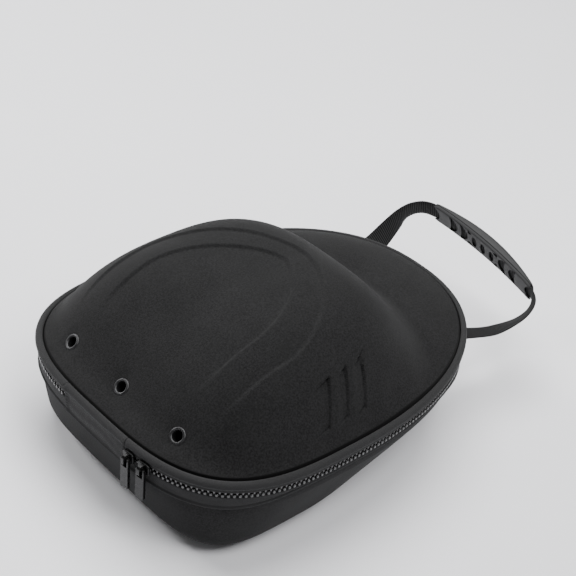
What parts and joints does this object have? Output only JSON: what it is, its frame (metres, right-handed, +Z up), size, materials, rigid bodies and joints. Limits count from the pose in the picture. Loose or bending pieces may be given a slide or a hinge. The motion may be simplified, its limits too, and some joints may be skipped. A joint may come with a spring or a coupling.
{
  "type": "cap carrier",
  "caption": "Hard travel case moulded in the shape of a peaked cap, with a zip round the rim, vent eyelets and a webbing carry handle with a rubber grip at the peak",
  "frame": {"origin": "on the floor, in the middle of the case's width, in the flat bottom of the base", "axes": "X runs along the case with the peak and handle at +X, Y is across it, Z is up, Y = 0 is the mirror plane of the case"},
  "size_m": [0.3821, 0.2484, 0.134],
  "materials": {
    "lid_fabric": "matt black knitted cloth over moulded foam",
    "base_fabric": "matt black knitted cloth over moulded foam",
    "tape_fabric": "black woven zip tape and rolled edge binding",
    "zip_plastic": "dark grey zip teeth",
    "eyelet_metal": "dark metal with a worn bright rim",
    "slider_metal": "glossy black painted metal",
    "webbing_fabric": "black ribbed webbing",
    "grip_rubber": "dark grey moulded rubber"
  },
  "bodies": {
    "case": {"lid_shell": "lid_fabric", "base_shell": "base_fabric", "zip_tape_upper": "tape_fabric", "zip_chain": "zip_plastic", "zip_tape_lower": "tape_fabric", "hinge_panel": "tape_fabric", "eyelet_far": "eyelet_metal", "eyelet_middle": "eyelet_metal", "eyelet_near": "eyelet_metal", "slider_a": "slider_metal", "slider_b": "slider_metal", "handle_webbing": "webbing_fabric", "handle_grip": "grip_rubber"},
    "pull_a": {"pull_a": "slider_metal"},
    "pull_b": {"pull_b": "slider_metal"}
  },
  "joints": [
    {"name": "pull_a_swing", "type": "hinge", "parent": "case", "child": "pull_a", "pos_m": [-0.12233, -0.04015, 0.064], "axis": [-0.0851, 0.9964, 0], "range_deg": [-6, 165]},
    {"name": "pull_b_swing", "type": "hinge", "parent": "case", "child": "pull_b", "pos_m": [-0.12061, -0.05405, 0.064], "axis": [-0.1647, 0.9864, 0], "range_deg": [-6, 165]}
  ]
}
